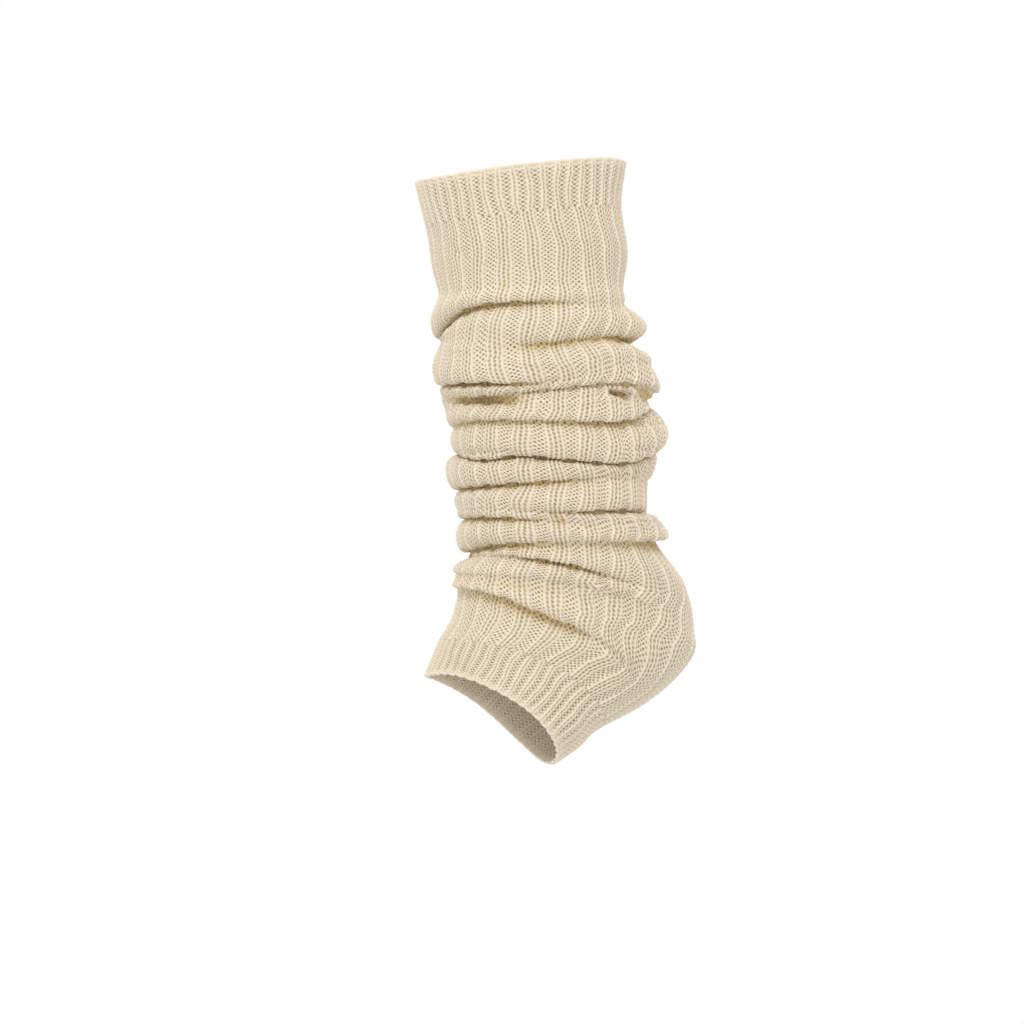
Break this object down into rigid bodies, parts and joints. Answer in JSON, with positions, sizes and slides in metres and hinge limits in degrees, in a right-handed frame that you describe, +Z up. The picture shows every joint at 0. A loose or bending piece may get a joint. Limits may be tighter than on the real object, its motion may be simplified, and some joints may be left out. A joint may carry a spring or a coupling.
{
  "type": "leg warmer",
  "caption": "Ribbed knit leg warmer, worn form: cuff above the calf, slouched folds down the shank, closed heel, cuff round the foot, both ends open.",
  "frame": {"origin": "centre of the opening above the calf", "axes": "+Z up the leg, -X towards the toes, +X towards the calf and heel, -Y towards the inner side of the leg"},
  "size_m": [0.1508, 0.1093, 0.3145],
  "materials": {
    "cream_yarn": "matte knitted yarn, undyed cream"
  },
  "bodies": {
    "root": {"cuff_top": "cream_yarn", "leg": "cream_yarn", "cuff_bottom": "cream_yarn"}
  },
  "joints": []
}
